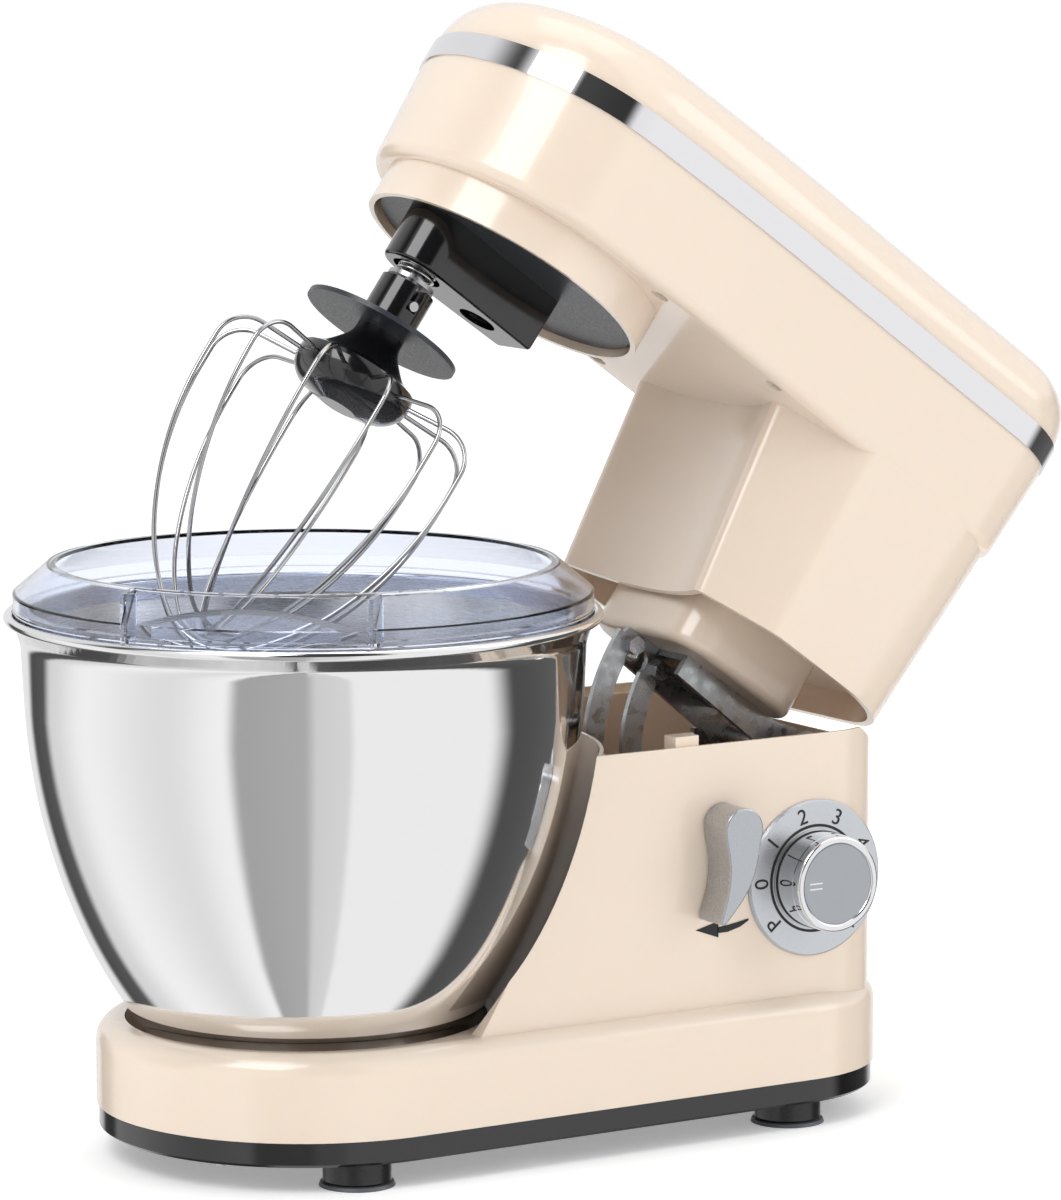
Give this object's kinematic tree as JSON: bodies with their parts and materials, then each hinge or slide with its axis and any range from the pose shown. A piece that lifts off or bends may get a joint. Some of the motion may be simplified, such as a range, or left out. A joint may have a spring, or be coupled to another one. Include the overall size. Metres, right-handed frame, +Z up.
{
  "type": "stand mixer",
  "caption": "Tilt-head kitchen stand mixer with steel bowl, clear splash guard and planetary balloon whisk, head raised.",
  "frame": {"origin": "middle of the footprint on the surface that the feet stand on", "axes": "+Z up, +X to the rear of the mixer, -Y the side with the dial and the lever"},
  "size_m": [0.4516, 0.236, 0.4513],
  "materials": {
    "cream": "glossy moulded",
    "black_plastic": "glossy moulded",
    "dark_grey_plastic": "satin moulded",
    "grey_rubber": "soft, half clear",
    "satin_metal": "satin plated",
    "chrome": "bright",
    "polished_steel": "polished",
    "machined_steel": "bright machined",
    "galvanised_steel": "zinc plated",
    "spring_steel": "drawn wire",
    "clear_plastic": "clear, bluish edges",
    "gear_plastic": "natural acetal",
    "cast_aluminium": "as cast",
    "motor_iron": "varnished laminations",
    "belt_rubber": "ribbed",
    "board_green": "lacquered",
    "pulley_plastic": "moulded"
  },
  "bodies": {
    "stand": {"stand_housing": "cream", "base_tray": "black_plastic", "base_screws": "machined_steel", "foot_posts": "dark_grey_plastic", "suction_cups": "grey_rubber", "bowl_seat_ring": "black_plastic", "dial_plate": "satin_metal", "rotary_switch": "black_plastic", "lever_bush": "dark_grey_plastic", "lever_spring": "spring_steel", "hinge_brackets": "galvanised_steel", "hinge_pin": "machined_steel", "control_board": "board_green", "board_posts": "dark_grey_plastic", "cord_gland": "dark_grey_plastic"},
    "knob": {"knob_body": "satin_metal", "knob_ring": "chrome", "knob_cap": "satin_metal"},
    "lever": {"release_lever": "satin_metal", "lever_shaft": "machined_steel", "latch_cam": "galvanised_steel"},
    "bowl": {"bowl": "polished_steel", "bowl_foot_ring": "polished_steel"},
    "guard": {"splash_guard": "clear_plastic"},
    "head": {"head_lower_shell": "cream", "trim_strip": "chrome", "head_top_cover": "cream", "head_screws": "machined_steel", "hinge_housing": "cream", "hinge_arms": "galvanised_steel", "lock_quadrant": "galvanised_steel", "quadrant_bolts": "machined_steel", "return_spring": "spring_steel", "ring_gear": "gear_plastic", "gear_chassis": "cast_aluminium", "carrier_bearings": "machined_steel", "drive_belt": "belt_rubber", "motor_stator": "motor_iron", "motor_frame": "black_plastic"},
    "rotor": {"motor_shaft": "machined_steel", "motor_rotor": "motor_iron", "cooling_fan": "black_plastic", "motor_pulley": "pulley_plastic"},
    "carrier": {"carrier_pulley": "black_plastic", "carrier_shaft": "machined_steel", "planet_disc": "dark_grey_plastic", "planet_arm": "black_plastic", "arm_screw": "machined_steel"},
    "spindle": {"spindle_shaft": "machined_steel", "cross_pin": "machined_steel", "planet_pinion": "gear_plastic", "spindle_spring": "spring_steel", "spindle_washer": "machined_steel"},
    "whisk": {"whisk_hub": "black_plastic", "whisk_disc": "dark_grey_plastic", "whisk_wires": "polished_steel"}
  },
  "joints": [
    {"name": "head_tilt", "type": "hinge", "parent": "stand", "child": "head", "pos_m": [0.10924, 0, 0.144], "axis": [0, -1, 0], "range_deg": [0, 35.5]},
    {"name": "planet_turn", "type": "hinge", "parent": "head", "child": "carrier", "pos_m": [-0.01588, 0, 0.34226], "axis": [0.5807, 0, 0.8141], "range_deg": [0, 70]},
    {"name": "spindle_turn", "type": "hinge", "parent": "carrier", "child": "spindle", "pos_m": [-0.04397, 0, 0.3623], "axis": [0.5807, 0, 0.8141], "range_deg": [-301, 0]},
    {"name": "motor_turn", "type": "hinge", "parent": "head", "child": "rotor", "pos_m": [0.12415, 0, 0.24238], "axis": [0.5807, 0, 0.8141], "range_deg": [0, 281]},
    {"name": "whisk_release", "type": "slide", "parent": "spindle", "child": "whisk", "axis": [0.5807, 0, 0.8141], "range_m": [-0.028, 0]},
    {"name": "bowl_twist", "type": "hinge", "parent": "stand", "child": "bowl", "pos_m": [-0.10776, 0, 0.04], "axis": [0, 0, 1], "range_deg": [-18, 0]},
    {"name": "guard_lift", "type": "slide", "parent": "bowl", "child": "guard", "axis": [0, 0, -1], "range_m": [-0.02, 0]},
    {"name": "knob_turn", "type": "hinge", "parent": "stand", "child": "knob", "pos_m": [0.08345, -0.08, 0.1015], "axis": [0, 1, 0], "range_deg": [-40, 228]},
    {"name": "lever_turn", "type": "hinge", "parent": "stand", "child": "lever", "pos_m": [0.03825, -0.08, 0.129], "axis": [0, 1, 0], "range_deg": [0, 35], "stiffness_Nm_per_rad": 0.08, "springref_deg": -17.19}
  ],
  "couplings": [
    {"joint": "spindle_turn", "follows": "planet_turn", "ratio": -4.2857},
    {"joint": "motor_turn", "follows": "planet_turn", "ratio": 4}
  ]
}
